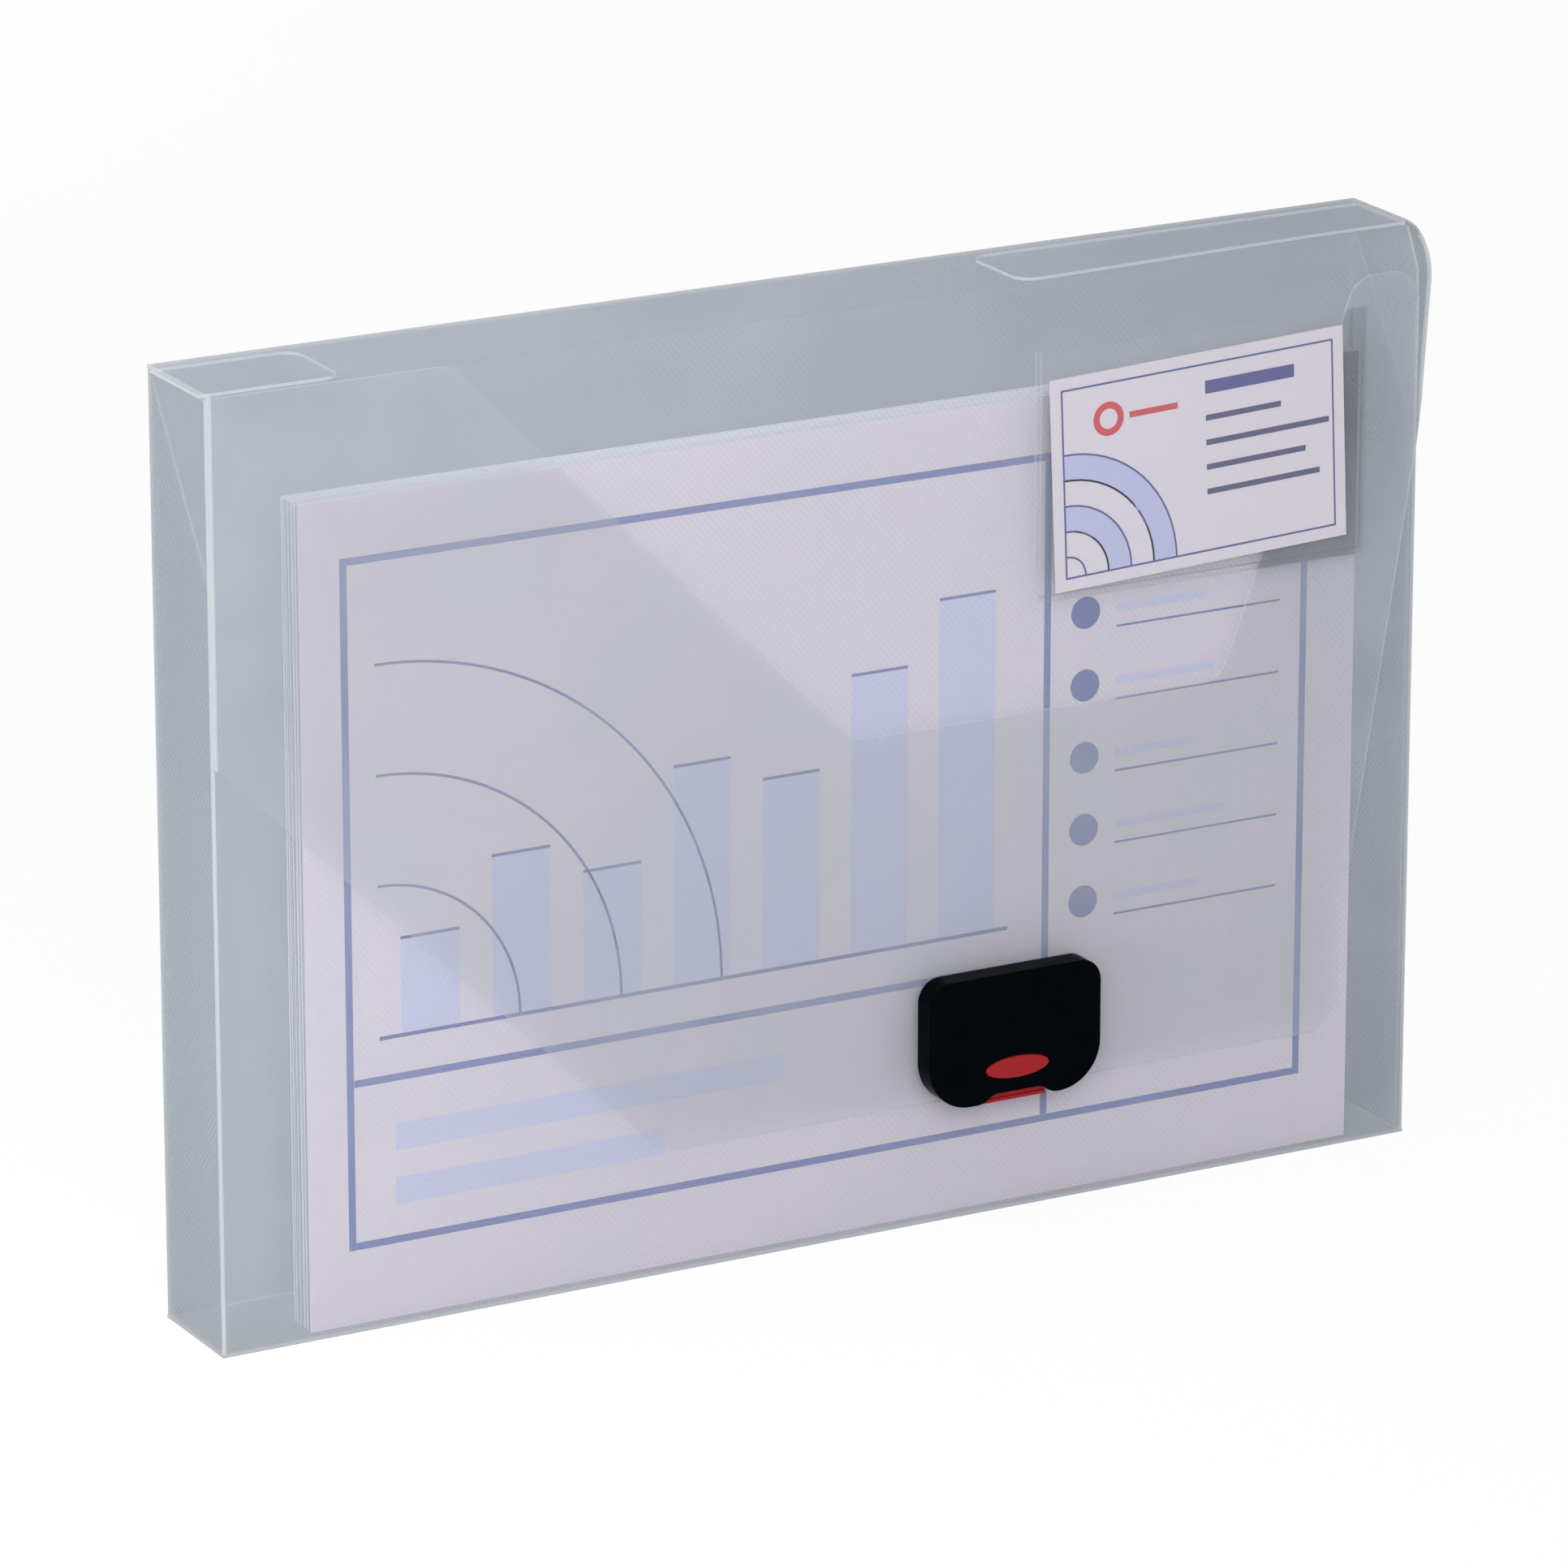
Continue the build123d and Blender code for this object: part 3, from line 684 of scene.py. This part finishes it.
card_board = paper("coated_card_white", "#d9d1d9", "#d3cbd4", 1.5, 0.45)
dress("index_card", card_board)
navy = ink("offset_ink_navy", "#4d4f86")
slate = ink("offset_ink_slate", "#504d70")
sky = ink("offset_ink_sky", "#b0b2d2")
scarlet = ink("offset_ink_scarlet", "#c4404c")
bm = bmesh.new()
in_navy, in_slate, in_sky, in_scarlet = range(4)
border(bm, *card_frame, 0.5, in_navy)
for index, length in enumerate((22, 36, 29, 33)):
    bar(bm, line_left, 9.5 - line_step * index, length, 1.5, in_slate)
bar(bm, line_left, 16.5, 26, 3.4, in_navy)
for index in range(5):
    ring = ring_start + ring_step * index
    arc(bm, ring_centre, ring, ring + 0.5, 0, 90, 16, in_navy)
for index in (1, 3):
    ring = ring_start + ring_step * index
    arc(bm, ring_centre, ring, ring + ring_step, 0, 90, 16, in_sky)
arc(bm, mark_centre, 2.6, 4.4, 0, 360, 32, in_scarlet)
bar(bm, -20, 14.2, 14, 1.6, in_scarlet)
bmesh.ops.rotate(bm, cent=(0, 0, 0), matrix=Matrix.Rotation(math.radians(card_tilt), 3, "Z"), verts=bm.verts)
bmesh.ops.translate(bm, vec=(*card_centre, 0), verts=bm.verts)
card_print = print_piece("card_print", bm, card_face, [navy, slate, sky, scarlet])
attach(card_print, "card")

# Papers: a stack of A4 copier paper that stands on the bottom, and a printed front sheet before it.
# The leaves are drawn 0.4 mm thick, so that their edges show, and a few stand a little out of line.
paper_left = -143.8
paper_width = 297.0
paper_low = 0.8
paper_height = 210.0
stack_front = -12.3
stack_depth = 9.7
leaf_count = 24
leaf_pitch = stack_depth / leaf_count
leaf_share = 0.86
leaf_trim = 0.8
leaf_drop = 0.6
leaf_lift = 0.02
leaf_sway = 0.4
leaf_rise = 0.5
paper_face = -12.6
page_frame = (-133, 20, 272, 176)
page_line = 1.9
list_left = 62
list_top = 172
list_step = 19
foot_top = 62
chart_left = -118
chart_low = 74
chart_step = 25
dial_centre = (-124, 74)


def leaf_paper():
    """Copier paper whose cut edges show as fine bands, a tenth of a millimetre each, drawn 0.4 mm wide; both
    bands are greyed with painted shade, the darker one standing for the shade between the leaves.
    """
    material, tree, output = new_material("copier_paper_painted_shade")
    place = add_node(tree, "ShaderNodeTexCoord")
    bands = add_node(
        tree, "ShaderNodeTexWave",
        [("wave_type", "BANDS"), ("bands_direction", "Y"), ("Scale", band_scale(0.4)), ("Distortion", 0.6)],
        [("Vector", place.outputs["Object"])],
    )
    shade = add_node(
        tree, "ShaderNodeMix",
        [("data_type", "RGBA"), (6, linear("#c2c4d0")), (7, linear("#e4e4ea"))],
        [(0, bands.outputs["Fac"])],
    )
    # painted shade: the two ends of the stack, which face along X, take a darker colour than its top
    facing = add_node(tree, "ShaderNodeSeparateXYZ", (), [(0, place.outputs["Normal"])])
    at_end = step_above(tree, facing.outputs["X"], 0.5)
    shade = add_node(
        tree, "ShaderNodeMix",
        [("data_type", "RGBA"), (7, linear("#9a9eac"))],
        [(0, at_end), (6, shade.outputs[2])],
    )
    skin = add_node(
        tree, "ShaderNodeBsdfPrincipled", [("IOR", 1.5), ("Roughness", 0.7)],
        [("Base Color", shade.outputs[2])],
    )
    tree.links.new(skin.outputs[0], output.inputs[0])
    return material


chance = random.Random(5)
bm = bmesh.new()
for index in range(leaf_count):
    leaf = bmesh.ops.create_cube(bm, size=1.0)["verts"]
    leaf_size = (paper_width - leaf_trim, leaf_pitch * leaf_share, paper_height - leaf_drop)
    leaf_place = (
        paper_left + paper_width / 2 + chance.uniform(-leaf_sway, leaf_sway),
        stack_front + leaf_pitch * (index + 0.5),
        paper_low + (paper_height - leaf_drop) / 2 + leaf_lift,
    )
    bmesh.ops.scale(bm, vec=leaf_size, verts=leaf)
    bmesh.ops.translate(bm, vec=leaf_place, verts=leaf)
    for vert in leaf:
        if vert.co.z > paper_low + paper_height / 2:
            vert.co.z += chance.uniform(0.0, leaf_rise)
paper_leaves = make_piece("paper_leaves", bm, [leaf_paper()])
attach(paper_leaves, "case")
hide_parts("paper_stack")

dress("cover_paper", paper("uncoated_paper_lavender", "#d6ced6", "#cfc7d0", 3.0, 0.7))
blue = ink("offset_ink_blue", "#666ea0")
pale_blue = ink("offset_ink_pale_blue", "#bbbbd6")
deep_blue = ink("offset_ink_deep_blue", "#5a6296")
bm = bmesh.new()
in_blue, in_pale_blue, in_deep_blue = range(3)
border(bm, *page_frame, page_line, in_blue)
bar(bm, list_left, 22, page_line, 172, in_blue)
bar(bm, -131, foot_top, 193, page_line, in_blue)
for index, length in enumerate((52, 44, 48, 38, 54, 41)):
    row = list_top - list_step * index
    arc(bm, (list_left + 12, row), 0, 4.2, 0, 360, 24, in_deep_blue)
    bar(bm, list_left + 21, row - 5, 48, 0.6, in_deep_blue)
    bar(bm, list_left + 21, row - 1, length * 0.6, 2.2, in_pale_blue)
for index, length in enumerate((108, 74)):
    bar(bm, -120, 44 - 14 * index, length, 7, in_pale_blue)
for index, height in enumerate((24, 41, 33, 56, 49, 72, 88)):
    column = chart_left + chart_step * index
    bar(bm, column, chart_low, 16, height, in_pale_blue)
    bar(bm, column, chart_low + height, 16, 0.8, in_deep_blue)
bar(bm, -124, chart_low - 1, 176, 1.0, in_deep_blue)
for radius in (38, 66, 94):
    arc(bm, dial_centre, radius, radius + 0.7, 0, 90, 40, in_deep_blue)
cover_print = print_piece("cover_print", bm, paper_face, [blue, pale_blue, deep_blue])
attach(cover_print, "case")

# Studio: a plain pale floor, four soft lamps and a soft room light.


def studio_lamp(name, place, aim, width, height, watts):
    """A soft rectangular lamp, all lengths in metres."""
    lamp = bpy.data.lights.new(name, "AREA")
    lamp.shape = "RECTANGLE"
    lamp.size = width
    lamp.size_y = height
    lamp.energy = watts
    holder = bpy.data.objects.new(name, lamp)
    bpy.context.scene.collection.objects.link(holder)
    holder.location = place
    holder.rotation_euler = (Vector(aim) - Vector(place)).to_track_quat("-Z", "Y").to_euler()


def light_for_view(tree, path, seen, unseen, through):
    """Picks what the camera and glossy surfaces see from what lights the scene.

    through is seen behind the translucent sheets, which scatter much of the light from far behind them; a
    dimmer backdrop there is painted shade.
    """
    open_view = add_node(
        tree, "ShaderNodeMath", [("operation", "LESS_THAN"), (1, 0.5)],
        [(0, path.outputs["Transparent Depth"])],
    )
    seen = add_node(
        tree, "ShaderNodeMixShader", (),
        [(0, open_view.outputs[0]), (1, through.outputs[0]), (2, seen.outputs[0])],
    )
    first = add_node(
        tree, "ShaderNodeMath", [("operation", "MAXIMUM")],
        [(0, path.outputs["Is Camera Ray"]), (1, path.outputs["Is Glossy Ray"])],
    )
    either = add_node(
        tree, "ShaderNodeMath", [("operation", "MAXIMUM")],
        [(0, first.outputs[0]), (1, path.outputs["Is Transmission Ray"])],
    )
    return add_node(
        tree, "ShaderNodeMixShader", (),
        [(0, either.outputs[0]), (1, unseen.outputs[0]), (2, seen.outputs[0])],
    )


world = bpy.data.worlds.new("studio")
bpy.context.scene.world = world
world.use_nodes = True
world.node_tree.nodes.clear()
sky_path = add_node(world.node_tree, "ShaderNodeLightPath")
white_view = add_node(world.node_tree, "ShaderNodeBackground", [("Color", (1, 1, 1, 1)), ("Strength", 1.0)])
room_light = add_node(
    world.node_tree, "ShaderNodeBackground", [("Color", linear("#eef1f6")), ("Strength", 0.55)]
)
# painted shade: the backdrop seen through the sheets is dimmer than the white one
backdrop_painted_shade = add_node(
    world.node_tree, "ShaderNodeBackground", [("Color", linear("#e6ecf2")), ("Strength", 0.42)]
)
picked = light_for_view(world.node_tree, sky_path, white_view, room_light, backdrop_painted_shade)
add_node(world.node_tree, "ShaderNodeOutputWorld", (), [(0, picked.outputs[0])])

floor_material, tree, output = new_material("painted_board_white")
floor_skin = add_node(tree, "ShaderNodeBsdfDiffuse", [("Color", linear("#f4f5f6")), ("Roughness", 0.5)])
floor_glow = add_node(tree, "ShaderNodeEmission", [("Color", (1, 1, 1, 1)), ("Strength", 1.0)])
floor_mix = add_node(
    tree, "ShaderNodeMixShader", [(0, 0.9)], [(1, floor_skin.outputs[0]), (2, floor_glow.outputs[0])]
)
floor_path = add_node(tree, "ShaderNodeLightPath")
# painted light and shade: seen through the sheets the floor glows dimly, fading towards the right, away from
# the lamps
floor_place = add_node(tree, "ShaderNodeTexCoord")
floor_parts = add_node(tree, "ShaderNodeSeparateXYZ", (), [(0, floor_place.outputs["Object"])])
floor_slope = add_node(
    tree, "ShaderNodeMath", [("operation", "MULTIPLY_ADD"), (1, -0.55)],
    [(0, floor_parts.outputs["Y"]), (2, floor_parts.outputs["X"])],
)
floor_painted_fade = add_node(
    tree, "ShaderNodeMapRange",
    [("From Min", -0.25), ("From Max", 0.3), ("To Min", 0.45), ("To Max", 0.26)],
    [("Value", floor_slope.outputs[0])],
)
floor_painted_glow_behind = add_node(
    tree, "ShaderNodeEmission", [("Color", linear("#e6ecf2"))], [("Strength", floor_painted_fade.outputs[0])]
)
floor_view = light_for_view(tree, floor_path, floor_mix, floor_skin, floor_painted_glow_behind)
tree.links.new(floor_view.outputs[0], output.inputs[0])
bm = bmesh.new()
bmesh.ops.create_grid(bm, x_segments=8, y_segments=8, size=6000.0)
floor = make_piece("floor", bm, [floor_material])

studio_lamp("key_lamp", (-0.5, -1.1, 0.72), (0, 0, 0.12), 0.9, 0.7, 9.0)
studio_lamp("top_lamp", (-0.27, 0, 0.75), (-0.1, 0, 0.2), 0.4, 0.4, 1.25)
studio_lamp("back_lamp", (-0.25, 1.7, 0.35), (0, 0, 0.12), 1.0, 0.5, 11.0)
studio_lamp("low_lamp", (-0.6, -0.25, 0.1), (-0.17, 0, 0.03), 0.35, 0.15, 0.6)

# Camera: the photograph's view, fitted to the case's corners. Its lengths are in metres.
camera_azimuth = math.radians(-28.76)
camera_elevation = math.radians(17.68)
camera_distance = 2.3023
camera_target = Vector((-0.0051, 0, 0.1167))
camera = bpy.data.objects.new("camera", bpy.data.cameras.new("camera"))
bpy.context.scene.collection.objects.link(camera)
camera.data.sensor_width = 36.0
camera.data.lens = 212.84
camera.data.clip_end = 100.0
level = math.cos(camera_elevation)
away = Vector((
    math.sin(camera_azimuth) * level,
    -math.cos(camera_azimuth) * level,
    math.sin(camera_elevation),
))
camera.location = camera_target + camera_distance * away
camera.rotation_euler = (-away).to_track_quat("-Z", "Y").to_euler()
bpy.context.scene.camera = camera
bpy.context.scene.view_settings.view_transform = "Standard"

bpy.context.view_layer.update()
